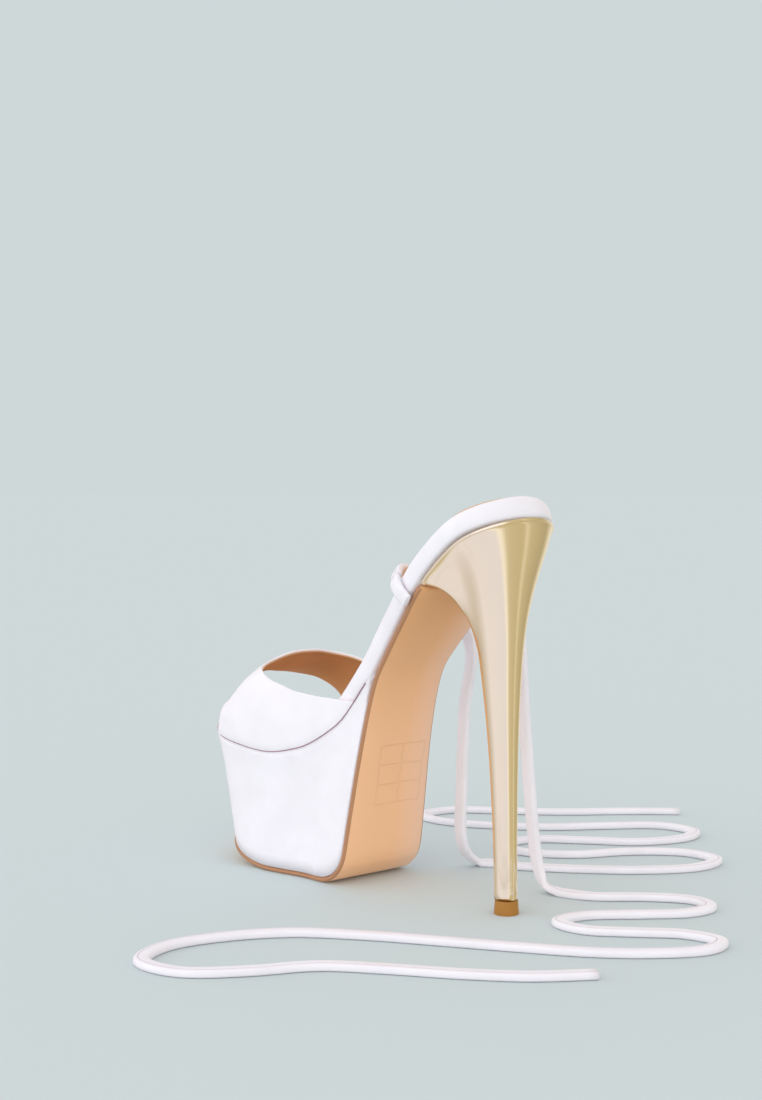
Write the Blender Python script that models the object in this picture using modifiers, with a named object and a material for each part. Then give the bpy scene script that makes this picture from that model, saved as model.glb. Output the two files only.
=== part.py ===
"""Lace-up heeled platform sandal, a left shoe, as separate named solids.

Metres, +Z up. The origin is the middle of the heel tip's ground face, +Y points to the toe and
+X to the wearer's right, which is the inner side of this left shoe.
"""

import math

import bmesh
import bpy
import numpy as np
from mathutils import Vector

MM = 0.001

# Driving sizes of the last
SHOE_LENGTH = 203 * MM
SEAT_OVERHANG = 15 * MM
SEAT_HEIGHT = 167 * MM
PLATFORM_HEIGHT = 56.5 * MM
DECK_TOE_LIFT = 9 * MM
SEAT_WIDTH = 56 * MM
WAIST_WIDTH = 41 * MM
BALL_WIDTH = 71 * MM
SEAT_ROUND = 0.10
TOE_ROUND = 0.21
TOE_SQUARENESS = 2.2

# Footbed and sock
FOOTBED_THICKNESS = 10.4 * MM
SOCK_THICKNESS = 0.9 * MM
SOCK_INSET = 4.6 * MM
CLEARANCE = 0.3 * MM

# Outsole and platform
SOLE_THICKNESS = 2.2 * MM
SHANK_INSET = 1.2 * MM
BREAST_SHARE = 0.206
JUNCTION_SHARE = 0.365
CONTACT_BACK = 95 * MM
CONTACT_LENGTH = 34 * MM
BEND_RADIUS = 18 * MM
REAR_FACE_ANGLE = math.radians(80)
REAR_WIDTH = 47.6 * MM
REAR_SHIFT = -0.8 * MM
REAR_BLEND = (0.5, 1.0)
BASE_FADE = 0.3
SPRING_POWER = 1.9
WEDGE_SETBACK = 12 * MM
BASE_INSET = 1.8 * MM
TOE_SPRING = 16.5 * MM
TOE_SETBACK = 14.5 * MM
PLATFORM_LIP = 0.8 * MM
WALL_HOLLOW = 1.4 * MM

# Heel and its tip
HEEL_INSET = 1.0 * MM
HEEL_LIP = 1.4 * MM
LIP_STEP = 0.5 * MM
NECK_HEIGHT = 106 * MM
NECK_WIDTH = 18.4 * MM
TIP_HEIGHT = 5.8 * MM
TIP_WIDTH = 10.6 * MM
HEEL_LEAN = 3.6 * MM
FLARE_FRONT = 14 * MM
FLARE_SPAN = 30 * MM
BREAST_RUN = 1.85
BACK_RUN = 0.35
BACK_DROP = 1.15
NECK_RUN = 1.2
NECK_BACK_RUN = 0.5
BREAST_TURN = 0.70
NECK_STEP = 4 * MM

# Upper
UPPER_WALL = 1.6 * MM
INSTEP_HEIGHT = 35 * MM

# Ties
TIE_THICKNESS = 3.0 * MM
TIE_WIDTH = 6.2 * MM
TAB_SHARE = 0.236
TAB_LENGTH_SHARE = 0.024
TAB_THICKNESS = 2.8 * MM
TIE_FLOOR = TIE_THICKNESS / 2 + 0.1 * MM

# Lines of the last, as shares of the sizes above
DECK = (
    dict(along=0.00, rise=1.000, lift=0.00),
    dict(along=0.10, rise=0.902, lift=0.00),
    dict(along=0.20, rise=0.745, lift=0.00),
    dict(along=0.30, rise=0.552, lift=0.00),
    dict(along=0.40, rise=0.328, lift=0.00),
    dict(along=0.50, rise=0.135, lift=0.00),
    dict(along=0.60, rise=0.033, lift=0.00),
    dict(along=0.70, rise=0.000, lift=0.02),
    dict(along=0.85, rise=0.000, lift=0.33),
    dict(along=1.00, rise=0.000, lift=1.00),
)
OUTLINE = (
    dict(along=0.00, width=SEAT_WIDTH, half=0.47, shift=0.000),
    dict(along=0.10, width=SEAT_WIDTH, half=0.49, shift=0.000),
    dict(along=0.18, width=SEAT_WIDTH, half=0.50, shift=0.000),
    dict(along=0.30, width=SEAT_WIDTH, half=0.41, shift=0.000),
    dict(along=0.40, width=WAIST_WIDTH, half=0.50, shift=0.000),
    dict(along=0.47, width=WAIST_WIDTH, half=0.51, shift=0.004),
    dict(along=0.55, width=BALL_WIDTH, half=0.36, shift=0.020),
    dict(along=0.65, width=BALL_WIDTH, half=0.45, shift=0.050),
    dict(along=0.75, width=BALL_WIDTH, half=0.50, shift=0.062),
    dict(along=0.85, width=BALL_WIDTH, half=0.50, shift=0.055),
    dict(along=1.00, width=BALL_WIDTH, half=0.47, shift=0.045),
)
RAND = (
    dict(lift=0.00, inset=0.16),
    dict(lift=0.12, inset=0.05),
    dict(lift=0.36, inset=0.00),
    dict(lift=0.66, inset=0.03),
    dict(lift=0.88, inset=0.10),
    dict(lift=1.00, inset=0.26),
)
PLATFORM_HOLLOW = (
    dict(height=0.40, hollow=0.6),
    dict(height=0.78, hollow=1.0),
)
HEEL = (
    dict(rise=0.00, width=0.535, shift=0.15),
    dict(rise=0.16, width=0.545, shift=0.19),
    dict(rise=0.34, width=0.585, shift=0.32),
    dict(rise=0.52, width=0.645, shift=0.46),
    dict(rise=0.68, width=0.725, shift=0.62),
    dict(rise=0.84, width=0.840, shift=0.82),
    dict(rise=1.00, width=1.000, shift=1.00),
)
VAMP = (
    dict(along=0.40, height=1.25, square=2.5, lean=0.00),
    dict(along=0.50, height=1.18, square=2.5, lean=0.00),
    dict(along=0.60, height=1.06, square=2.5, lean=0.00),
    dict(along=0.70, height=1.00, square=2.5, lean=0.00),
    dict(along=0.80, height=0.90, square=2.3, lean=0.03),
    dict(along=0.86, height=0.70, square=2.1, lean=0.08),
    dict(along=0.92, height=0.53, square=2.0, lean=0.12),
    dict(along=1.00, height=0.38, square=1.9, lean=0.14),
)
VAMP_EDGES = (
    dict(across=0.00, throat=0.435, peep=0.800),
    dict(across=0.10, throat=0.470, peep=0.800),
    dict(across=0.18, throat=0.560, peep=0.808),
    dict(across=0.26, throat=0.705, peep=0.812),
    dict(across=0.35, throat=0.802, peep=0.850),
    dict(across=0.42, throat=0.814, peep=0.880),
    dict(across=0.50, throat=0.803, peep=0.905),
    dict(across=0.60, throat=0.785, peep=0.930),
    dict(across=0.68, throat=0.705, peep=0.945),
    dict(across=0.76, throat=0.567, peep=0.890),
    dict(across=0.84, throat=0.495, peep=0.832),
    dict(across=0.90, throat=0.462, peep=0.810),
    dict(across=1.00, throat=0.435, peep=0.805),
)
VAMP_FOOT = 0.10
TAB_FACE = (
    dict(lift=-0.13, outward=-0.068),
    dict(lift=0.00, outward=-0.060),
    dict(lift=0.14, outward=-0.032),
    dict(lift=0.36, outward=0.002),
    dict(lift=0.66, outward=-0.022),
    dict(lift=0.90, outward=-0.082),
    dict(lift=1.02, outward=-0.202),
)

# The ties' routes. Over the footbed: share of the length, across in half widths, lift in millimetres.
# The fall: share of the length, millimetres beyond the edge, share of the height. The floor: X and Y.
TIE_ROUTES = {
    "tie_left": dict(
        over=(
            (0.236, -0.943, 2), (0.238, -0.8, 5.8), (0.246, -0.56, 8.8), (0.262, -0.26, 8.6),
            (0.278, 0.09, 6.6), (0.29, 0.47, 4.9), (0.302, 0.86, 4.1), (0.318, 1.2, 2.4),
        ),
        fall=(
            (0.345, 11, 0.86), (0.37, 12.5, 0.64), (0.385, 14, 0.36), (0.4, 17, 0.12),
        ),
        floor=(
            (53, 70), (63, 51), (79, 30), (99, 10), (122, -3), (142, 1), (143, 21), (125, 40),
            (101, 52), (86, 71), (89, 90), (110, 90), (128, 71), (145, 51), (169, 42), (186, 50),
            (184, 71), (162, 89), (139, 105), (120, 126), (107, 151), (110, 172), (132, 172),
            (152, 151), (174, 128), (200, 108), (222, 88),
        ),
    ),
    "tie_right": dict(
        over=(
            (0.236, 0.943, 2), (0.232, 0.79, 6), (0.215, 0.64, 9), (0.195, 0.645, 9.8),
            (0.178, 0.82, 8.8), (0.172, 1.05, 5.4),
        ),
        fall=(
            (0.195, 6.5, 0.95), (0.215, 8.8, 0.82), (0.2, 10, 0.44), (0.165, 10.4, 0.07),
        ),
        floor=(
            (39, 6), (45, -9), (61, -24), (72, -40), (68, -53), (53, -53), (36, -41), (18, -28),
            (2, -28), (1, -43), (13, -58), (26, -73), (28, -89), (14, -93), (-5, -82), (-22, -65),
            (-37, -43), (-53, -18), (-70, 8), (-90, 31), (-115, 44), (-139, 47), (-157, 36),
            (-154, 15), (-135, 0), (-111, -12), (-94, -32), (-78, -54), (-61, -73), (-41, -87),
        ),
    ),
}

# Facets
SEAT_STEPS = 9
MIDDLE_STEPS = 36
TOE_STEPS = 12
SHANK_STEPS = 10
PLATFORM_STEPS = 52
HEEL_STEPS = 12
BREAST_STEPS = 8
HEEL_FLARE_STEPS = 9
SHAFT_STEPS = 9
VAMP_STEPS = (30, 18)
TAB_STEPS = 14
TIE_STEPS = 2


def clear_scene():
    """Remove whatever the file holds before the sandal is built."""
    for item in list(bpy.data.objects):
        bpy.data.objects.remove(item, do_unlink=True)


def smooth(rows, key, column):
    """A smooth line through one column of a short table, without overshoot between its rows."""
    xs = np.array([row[key] for row in rows])
    ys = np.array([row[column] for row in rows])
    step = np.diff(xs)
    slope = np.diff(ys) / step
    bend = np.zeros(len(ys))
    bend[0] = slope[0]
    bend[-1] = slope[-1]
    for i in range(1, len(ys) - 1):
        if slope[i] * slope[i - 1] > 0:
            bend[i] = 2 * slope[i] * slope[i - 1] / (slope[i] + slope[i - 1])

    def value(x):
        x = min(max(x, xs[0]), xs[-1])
        i = min(max(int(np.searchsorted(xs, x)) - 1, 0), len(step) - 1)
        u = (x - xs[i]) / step[i]
        start = ys[i] * (1 + 2 * u) * (1 - u) ** 2 + bend[i] * step[i] * u * (1 - u) ** 2
        end = ys[i + 1] * u * u * (3 - 2 * u) - bend[i + 1] * step[i] * u * u * (1 - u)
        return start + end

    return value


class Rail:
    """A line in the side view, measured along its own length, with the direction square to it."""

    def __init__(self, points):
        self.points = np.array(points)
        self.along = np.concatenate([[0.0], np.cumsum(np.hypot(*np.diff(self.points, axis=0).T))])
        self.length = self.along[-1]
        run = np.gradient(self.points, self.along, axis=0)
        run /= np.hypot(*run.T)[:, None]
        self.normals = np.stack([-run[:, 1], run[:, 0]], axis=1)

    def place(self, along, side, lift):
        y, z = (np.interp(along, self.along, self.points[:, i]) for i in (0, 1))
        ny, nz = (np.interp(along, self.along, self.normals[:, i]) for i in (0, 1))
        return Vector((side, y + ny * lift, z + nz * lift))

    def reach(self, y):
        """The length along the rail at a given Y, for a rail that only runs forward."""
        return float(np.interp(y, self.points[:, 0], self.along))


def deck_rail():
    """The underside of the footbed, from the back of the seat to the toe."""
    rise = smooth(DECK, "along", "rise")
    lift = smooth(DECK, "along", "lift")
    climb = SEAT_HEIGHT - PLATFORM_HEIGHT
    shares = np.linspace(0, 1, 161)
    return Rail([(t * SHOE_LENGTH - SEAT_OVERHANG,
                  PLATFORM_HEIGHT + rise(t) * climb + lift(t) * DECK_TOE_LIFT) for t in shares])


DECK_RAIL = deck_rail()
HALF_WIDTH = smooth([dict(row, half=row["half"] * row["width"]) for row in OUTLINE], "along", "half")
SHIFT = smooth(OUTLINE, "along", "shift")


def deck_along(share):
    """The length along the deck at a share of the shoe's length."""
    return DECK_RAIL.reach(share * SHOE_LENGTH - SEAT_OVERHANG)


def deck_edges(share):
    """Where the footbed's outline lies to the left and right, rounded off at both ends."""
    rounding = 1.0
    if share < SEAT_ROUND:
        rounding = math.sqrt(max(0.0, 1 - ((SEAT_ROUND - share) / SEAT_ROUND) ** 2))
    if share > 1 - TOE_ROUND:
        reach = (share - 1 + TOE_ROUND) / TOE_ROUND
        rounding = max(0.0, 1 - reach ** TOE_SQUARENESS) ** (1 / TOE_SQUARENESS)
    half = HALF_WIDTH(share) * rounding
    shift = SHIFT(share) * BALL_WIDTH
    return shift - half, shift + half


def outline_shares():
    """Shares of the length along the outline, close together where it rounds its two ends."""
    seat = [SEAT_ROUND * (1 - math.cos(math.pi / 2 * i / SEAT_STEPS)) for i in range(SEAT_STEPS)]
    middle = list(np.linspace(SEAT_ROUND, 1 - TOE_ROUND, MIDDLE_STEPS, endpoint=False))
    toe = [1 - TOE_ROUND * (1 - math.sin(math.pi / 2 * i / TOE_STEPS)) for i in range(TOE_STEPS + 1)]
    return seat + middle + toe


def inset_chains(left, right, inset, front=()):
    """Move a flat outline's points inwards by an inset, as left, right and front points."""
    loop = [Vector(p) for p in list(left) + list(front) + list(reversed(right))]
    closed = [p for i, p in enumerate(loop) if (p - loop[i - 1]).length > 1e-9]
    moved = []
    for p in loop:
        i = min(range(len(closed)), key=lambda k: (closed[k] - p).length)
        before = (closed[i] - closed[i - 1]).normalized()
        after = (closed[(i + 1) % len(closed)] - closed[i]).normalized()
        run = (before + after).normalized()
        corner = max(0.6, run.dot(after))
        moved.append(p + Vector((-run.y, run.x)) * (inset / corner))
    count = len(left)
    fronts = moved[count:count + len(front)]
    return moved[:count], list(reversed(moved[count + len(front):])), fronts


def loft(bm, rings):
    """Close a body through rings of left and right chains, each ring also laddered across at the ends."""
    loops = []
    for left, right, front in rings:
        made = []
        for p in left:
            made.append(bm.verts.new(p))
        lefts = list(made)
        fronts = [bm.verts.new(p) for p in front]
        rights = []
        for i, p in enumerate(right):
            twin = (p - left[i]).length < 1e-7
            rights.append(lefts[i] if twin else bm.verts.new(p))
        loops.append((lefts, rights, fronts))

    def face(verts):
        kept = [v for i, v in enumerate(verts) if v not in verts[:i]]
        if len(kept) > 2:
            bm.faces.new(kept)

    def around(lefts, rights, fronts):
        loop = lefts + fronts + list(reversed(rights))
        return [v for i, v in enumerate(loop) if v is not loop[i - 1]]

    for lower, upper in zip(loops, loops[1:]):
        a, b = around(*lower), around(*upper)
        for i in range(len(a)):
            face([a[i - 1], a[i], b[i], b[i - 1]])
    for lefts, rights, fronts in (loops[0], loops[-1]):
        last = len(lefts) - 1
        for i in range(last):
            middle = fronts if i == last - 1 else []
            face([lefts[i], lefts[i + 1]] + middle + [rights[i + 1], rights[i]])


def link_mesh(name, bm, material, collection):
    """Make a named object of a mesh, with its material."""
    mesh = bpy.data.meshes.new(name)
    bm.to_mesh(mesh)
    bm.free()
    item = bpy.data.objects.new(name, mesh)
    item.data.materials.append(material)
    collection.objects.link(item)
    return item


def finish_mesh(name, bm, material, collection):
    """Turn a mesh's faces outward and make its object."""
    bmesh.ops.recalc_face_normals(bm, faces=bm.faces)
    return link_mesh(name, bm, material, collection)


def make_material(name, color, roughness, metallic=0.0):
    """A Principled material of one plain colour."""
    material = bpy.data.materials.new(name)
    material.use_nodes = True
    shader = material.node_tree.nodes["Principled BSDF"]
    shader.inputs["Base Color"].default_value = (*color, 1)
    shader.inputs["Roughness"].default_value = roughness
    shader.inputs["Metallic"].default_value = metallic
    material.diffuse_color = (*color, 1)
    return material


def wrap(rail, chains, lift):
    """Lay flat chains of (along, side) points on a rail at a lift."""
    return tuple([rail.place(p[0], p[1], lift) for p in chain] for chain in chains)


def deck_chains(inset):
    """The footbed's outline as flat chains, moved inwards by an inset."""
    left = []
    right = []
    for share in outline_shares():
        low, high = deck_edges(share)
        along = deck_along(share)
        left.append((along, low))
        right.append((along, high))
    return inset_chains(left, right, inset)


def make_footbed(collection):
    """The insole board wrapped by its rounded rand."""
    bm = bmesh.new()
    rings = []
    for row in RAND:
        chains = deck_chains(row["inset"] * FOOTBED_THICKNESS)
        rings.append(wrap(DECK_RAIL, chains, row["lift"] * FOOTBED_THICKNESS))
    loft(bm, rings)
    leather = make_material("footbed_leather", (0.86, 0.84, 0.87), 0.45)
    return finish_mesh("footbed", bm, leather, collection)


def make_sock(collection):
    """The thin lining sheet glued on the footbed."""
    bm = bmesh.new()
    base = FOOTBED_THICKNESS + CLEARANCE
    chains = deck_chains(SOCK_INSET)
    loft(bm, [wrap(DECK_RAIL, chains, base), wrap(DECK_RAIL, chains, base + SOCK_THICKNESS)])
    lining = make_material("sock_lining", (0.38, 0.20, 0.10), 0.6)
    return finish_mesh("insole_sock", bm, lining, collection)


class Sole:
    """The outsole's ground side as a rail from the heel breast to the toe, with its marks and edges."""

    def __init__(self):
        drop = -(CLEARANCE + SOLE_THICKNESS)
        start, end = deck_along(BREAST_SHARE), deck_along(JUNCTION_SHARE)
        shank = [DECK_RAIL.place(s, 0, drop) for s in np.linspace(start, end, 24)]
        shank = [(p.y, p.z) for p in shank]
        sin_face, cos_face = math.sin(REAR_FACE_ANGLE), math.cos(REAR_FACE_ANGLE)
        foot = np.array((CONTACT_BACK - BEND_RADIUS * sin_face, BEND_RADIUS * (1 - cos_face)))
        head = np.array(shank[-1])
        head_run = np.array(shank[-1]) - np.array(shank[-2])
        head_run /= np.hypot(*head_run)
        foot_run = np.array((cos_face, -sin_face))
        span = np.hypot(*(foot - head))
        face = []
        for u in np.linspace(0, 1, 25)[1:]:
            blend = (head * (2 * u ** 3 - 3 * u ** 2 + 1) + foot * (3 * u ** 2 - 2 * u ** 3)
                     + head_run * span * REAR_BLEND[0] * (u ** 3 - 2 * u ** 2 + u)
                     + foot_run * span * REAR_BLEND[1] * (u ** 3 - u ** 2))
            face.append(tuple(blend))
        bend = [(CONTACT_BACK - BEND_RADIUS * math.sin(a), BEND_RADIUS * (1 - math.cos(a)))
                for a in np.linspace(REAR_FACE_ANGLE, 0, 10)[1:]]
        contact_front = CONTACT_BACK + CONTACT_LENGTH
        toe = SHOE_LENGTH - SEAT_OVERHANG - TOE_SETBACK
        flat = [(y, 0.0) for y in np.linspace(CONTACT_BACK, contact_front, 6)[1:]]
        spring = [(contact_front + (toe - contact_front) * u, TOE_SPRING * u ** SPRING_POWER)
                  for u in np.linspace(0, 1, 20)[1:]]
        self.rail = Rail(shank + face + bend + flat + spring)
        marks = np.cumsum([0, len(shank) - 1, len(face), len(bend), len(flat), len(spring)])
        self.marks = [float(self.rail.along[i]) for i in marks]

    def edges(self, along):
        """Where the outsole's edge lies to the left and right at a length along its rail."""
        _, junction, _, contact, _, toe = self.marks
        if along <= junction:
            low, high = deck_edges(BREAST_SHARE + (JUNCTION_SHARE - BREAST_SHARE) * along / junction)
            return low + SHANK_INSET, high - SHANK_INSET
        rear = (REAR_SHIFT - REAR_WIDTH / 2, REAR_SHIFT + REAR_WIDTH / 2)
        if along <= contact:
            low, high = deck_edges(JUNCTION_SHARE)
            edges = (low + SHANK_INSET, high - SHANK_INSET)
            fade = 1 - (along - junction) / (contact - junction)
        else:
            low, high = deck_edges(self.above(along))
            edges = (low + BASE_INSET, high - BASE_INSET)
            fade = min(1.0, (along - contact) / (toe - contact) / BASE_FADE)
        fade = fade * fade * (3 - 2 * fade)
        low, high = (a * fade + b * (1 - fade) for a, b in zip(edges, rear))
        if low > high:
            low = high = (low + high) / 2
        return low, high

    def above(self, along):
        """The share of the shoe's length that stands over a place on the outsole."""
        _, junction, _, contact, _, toe = self.marks
        over_contact = (CONTACT_BACK + SEAT_OVERHANG) / SHOE_LENGTH
        if along <= contact:
            u = (along - junction) / (contact - junction)
            return JUNCTION_SHARE + (over_contact - JUNCTION_SHARE) * u
        return over_contact + (1 - over_contact) * (along - contact) / (toe - contact)


def make_outsole(sole, collection):
    """One bent sheet under the shank, down the rear face and under the platform."""
    breast, junction, _, contact, _, toe = sole.marks
    stations = list(np.linspace(breast, junction, SHANK_STEPS, endpoint=False))
    stations += list(np.linspace(junction, contact, 26, endpoint=False))
    stations += [contact + (toe - contact) * math.sin(math.pi / 2 * u) for u in np.linspace(0, 1, 22)]
    left = [(s, sole.edges(s)[0]) for s in stations]
    right = [(s, sole.edges(s)[1]) for s in stations]
    bm = bmesh.new()
    chains = (left, right, [])
    loft(bm, [wrap(sole.rail, chains, 0), wrap(sole.rail, chains, SOLE_THICKNESS)])
    rubber = make_material("outsole_rubber", (0.70, 0.43, 0.25), 0.5)
    return finish_mesh("outsole", bm, rubber, collection)


def make_platform(sole, collection):
    """The covered block between the outsole and the footbed."""
    _, junction, _, contact, _, toe = sole.marks
    half = PLATFORM_STEPS // 2
    stations = list(np.linspace(junction + WEDGE_SETBACK, contact, half, endpoint=False))
    stations += [contact + (toe - contact) * math.sin(math.pi / 2 * u) for u in np.linspace(0, 1, half)]
    lift = SOLE_THICKNESS + CLEARANCE
    lower, upper = ([], []), ([], [])
    for s in stations:
        share = sole.above(s)
        for side, edge in enumerate(sole.edges(s)):
            lower[side].append(sole.rail.place(s, edge, lift))
        for side, edge in enumerate(deck_edges(share)):
            outward = PLATFORM_LIP * (2 * side - 1) if share < 1 else 0
            upper[side].append(DECK_RAIL.place(deck_along(share), edge + outward, -CLEARANCE))
    rings = [(lower[0], lower[1], [])]
    middle = (lower[0][-1].x + upper[0][-1].x) / 2
    for row in PLATFORM_HOLLOW:
        hollow = WALL_HOLLOW * row["hollow"]
        sides = ([], [])
        for side in (0, 1):
            for low, high in zip(lower[side], upper[side]):
                place = low.lerp(high, row["height"])
                deep = min(1.0, (high - low).length / PLATFORM_HEIGHT)
                place.x += math.copysign(hollow * deep, middle - place.x)
                sides[side].append(place)
        toe_end = lower[0][-1].lerp(upper[0][-1], row["height"]) - Vector((0, hollow, 0))
        sides[0][-1] = sides[1][-1] = toe_end
        rings.append((sides[0], sides[1], []))
    rings.append((upper[0], upper[1], []))
    bm = bmesh.new()
    loft(bm, rings)
    leather = make_material("platform_leather", (0.88, 0.86, 0.90), 0.4)
    return finish_mesh("platform", bm, leather, collection)


def ring_point(width, shift, height, angle):
    """A point of the heel's round section, from its back round by the left to its front."""
    radius = width / 2
    return Vector((-radius * math.sin(angle), shift - radius * math.cos(angle), height))


def make_heel(collection):
    """The stiletto: a round shaft that flares into the seat, with a lip round its top."""
    turns = np.linspace(0, math.pi / 2, HEEL_STEPS + 1)
    shares = [BREAST_SHARE * (1 - math.cos(turn)) for turn in turns]
    left = []
    right = []
    for share in shares:
        low, high = deck_edges(share)
        left.append((deck_along(share), low))
        right.append((deck_along(share), high))
    end = deck_along(BREAST_SHARE) - 2 * CLEARANCE
    left[-1] = (end, low)
    right[-1] = (end, high)
    front = [(end, low + (high - low) * i / BREAST_STEPS) for i in range(1, BREAST_STEPS)]
    top = wrap(DECK_RAIL, inset_chains(left, right, HEEL_INSET, front), -CLEARANCE)
    chains = inset_chains(left, right, HEEL_INSET, front)
    lip = wrap(DECK_RAIL, chains, -CLEARANCE - HEEL_LIP)
    step = wrap(DECK_RAIL, inset_chains(left, right, HEEL_INSET + LIP_STEP, front), -CLEARANCE - HEEL_LIP)
    base = TIP_HEIGHT + CLEARANCE
    width = smooth(HEEL, "rise", "width")
    shift = smooth(HEEL, "rise", "shift")
    turn = math.pi * BREAST_TURN
    angles = [turn * i / (len(left) - 1) for i in range(len(left))]
    span = 2 * (math.pi - turn) / (len(front) + 1)
    fronts = [turn + span * (i + 1) for i in range(len(front))]

    def section(height):
        rise = (height - base) / (NECK_HEIGHT - base)
        size = (width(rise) * NECK_WIDTH, shift(rise) * HEEL_LEAN, height)
        lefts = [ring_point(*size, a) for a in angles]
        rights = [ring_point(*size, -a) for a in angles]
        return lefts, rights, [ring_point(*size, a) for a in fronts]

    neck = section(NECK_HEIGHT)
    below = section(NECK_HEIGHT - NECK_STEP)
    rings = [top, lip]
    for i in range(HEEL_FLARE_STEPS):
        u = i / HEEL_FLARE_STEPS
        ring = []
        for upper, lower, under in zip(step, neck, below):
            chain = []
            for p, q, r in zip(upper, lower, under):
                drop = p.z - q.z
                back = min(1.0, max(0.0, (FLARE_FRONT - p.y) / FLARE_SPAN))
                inward = BACK_RUN * back + BREAST_RUN * (1 - back)
                run = Vector(((q.x - p.x) * inward, (q.y - p.y) * inward, -drop * BACK_DROP * back))
                end_run = (r - q).normalized() * drop * (NECK_RUN + NECK_BACK_RUN * back)
                chain.append(p * (2 * u ** 3 - 3 * u ** 2 + 1) + q * (3 * u ** 2 - 2 * u ** 3)
                             + run * (u ** 3 - 2 * u ** 2 + u) + end_run * (u ** 3 - u ** 2))
            ring.append(chain)
        rings.append(tuple(ring))
    for height in np.linspace(NECK_HEIGHT, base, SHAFT_STEPS):
        rings.append(section(height))
    bm = bmesh.new()
    loft(bm, rings)
    plate = make_material("heel_plating", (0.80, 0.70, 0.52), 0.22, 1.0)
    return finish_mesh("heel", bm, plate, collection)


def make_heel_tip(collection):
    """The top piece under the heel, a little wider at the ground."""
    bm = bmesh.new()
    bmesh.ops.create_cone(bm, cap_ends=True, segments=28, radius1=TIP_WIDTH / 2,
                          radius2=TIP_WIDTH * 0.46, depth=TIP_HEIGHT)
    bmesh.ops.translate(bm, verts=bm.verts, vec=(0, 0, TIP_HEIGHT / 2))
    plastic = make_material("heel_tip_plastic", (0.43, 0.22, 0.07), 0.45)
    return finish_mesh("heel_tip", bm, plastic, collection)


VAMP_HEIGHT, VAMP_SQUARE, VAMP_LEAN = (smooth(VAMP, "along", key) for key in ("height", "square", "lean"))


def vamp_section(share, across):
    """A point of the upper's inside: side and lift over the deck, from the left seam to the right."""
    low, high = deck_edges(share)
    low -= CLEARANCE
    high += CLEARANCE
    if across <= VAMP_FOOT:
        return low, FOOTBED_THICKNESS * across / VAMP_FOOT
    if across >= 1 - VAMP_FOOT:
        return high, FOOTBED_THICKNESS * (1 - across) / VAMP_FOOT
    angle = math.pi * (1 - (across - VAMP_FOOT) / (1 - 2 * VAMP_FOOT))
    power = 2 / VAMP_SQUARE(share)
    rise = math.sin(angle) ** power
    reach = math.copysign(abs(math.cos(angle)) ** power, math.cos(angle))
    side = (low + high + (high - low) * reach) / 2 + VAMP_LEAN(share) * BALL_WIDTH * rise
    return side, FOOTBED_THICKNESS + VAMP_HEIGHT(share) * INSTEP_HEIGHT * rise


def make_vamp(collection):
    """The upper: one wide hollow band, cut by its throat behind and its peep toe in front."""
    throat = smooth(VAMP_EDGES, "across", "throat")
    peep = smooth(VAMP_EDGES, "across", "peep")
    columns, rows = VAMP_STEPS
    bm = bmesh.new()
    bmesh.ops.create_grid(bm, x_segments=columns, y_segments=rows, size=0.5)
    for vert in bm.verts:
        across = vert.co.x + 0.5
        share = throat(across) + (peep(across) - throat(across)) * (vert.co.y + 0.5)
        side, lift = vamp_section(share, across)
        vert.co = DECK_RAIL.place(deck_along(share), side, lift)
    leather = make_material("vamp_leather", (0.89, 0.87, 0.91), 0.4)
    vamp = finish_mesh("vamp", bm, leather, collection)
    shell = vamp.modifiers.new("wall", "SOLIDIFY")
    shell.thickness = UPPER_WALL
    shell.offset = 1
    shell.use_even_offset = True
    return vamp


def make_tie_tab(name, side, collection):
    """One anchor: the tie's end folded over the rand's outer face and tucked under its edge."""
    outward = smooth(TAB_FACE, "lift", "outward")
    first, last = TAB_FACE[0]["lift"], TAB_FACE[-1]["lift"]
    bm = bmesh.new()
    bmesh.ops.create_grid(bm, x_segments=2, y_segments=TAB_STEPS, size=0.5)
    for vert in bm.verts:
        lift = first + (last - first) * (vert.co.y + 0.5)
        share = TAB_SHARE + vert.co.x * TAB_LENGTH_SHARE
        edge = deck_edges(share)[0 if side < 0 else 1]
        reach = edge + side * (CLEARANCE + outward(lift) * FOOTBED_THICKNESS)
        vert.co = DECK_RAIL.place(deck_along(share), reach, lift * FOOTBED_THICKNESS)
    if side < 0:
        bmesh.ops.reverse_faces(bm, faces=bm.faces)
    leather = make_material(name + "_leather", (0.88, 0.86, 0.90), 0.4)
    tab = link_mesh(name, bm, leather, collection)
    shell = tab.modifiers.new("fold", "SOLIDIFY")
    shell.thickness = TAB_THICKNESS
    shell.offset = 1
    shell.use_even_offset = True
    return tab


def tie_points(route):
    """The hand-chosen points of a tie: over the footbed, down beside the shoe and on the floor."""
    points = []
    for share, across, lift in route["over"]:
        low, high = deck_edges(share)
        side = (low + high + (high - low) * across) / 2
        points.append(DECK_RAIL.place(deck_along(share), side, FOOTBED_THICKNESS + lift * MM))
    head = points[-1].z
    for share, beyond, height in route["fall"]:
        edge = deck_edges(share)[1]
        points.append(Vector((edge + beyond * MM, share * SHOE_LENGTH - SEAT_OVERHANG, head * height)))
    points += [Vector((x * MM, y * MM, TIE_FLOOR)) for x, y in route["floor"]]
    return points


def smooth_route(points):
    """A smooth line through hand-chosen points, with a few steps between each two of them."""
    ends = [points[0] * 2 - points[1]] + points + [points[-1] * 2 - points[-2]]
    line = []
    for a, b, c, d in zip(ends, ends[1:], ends[2:], ends[3:]):
        for i in range(TIE_STEPS):
            u = i / TIE_STEPS
            line.append((b * 2 + (c - a) * u + (a * 2 - b * 5 + c * 4 - d) * u * u
                         + (b * 3 - a - c * 3 + d) * u ** 3) / 2)
    return line + [points[-1]]


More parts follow.
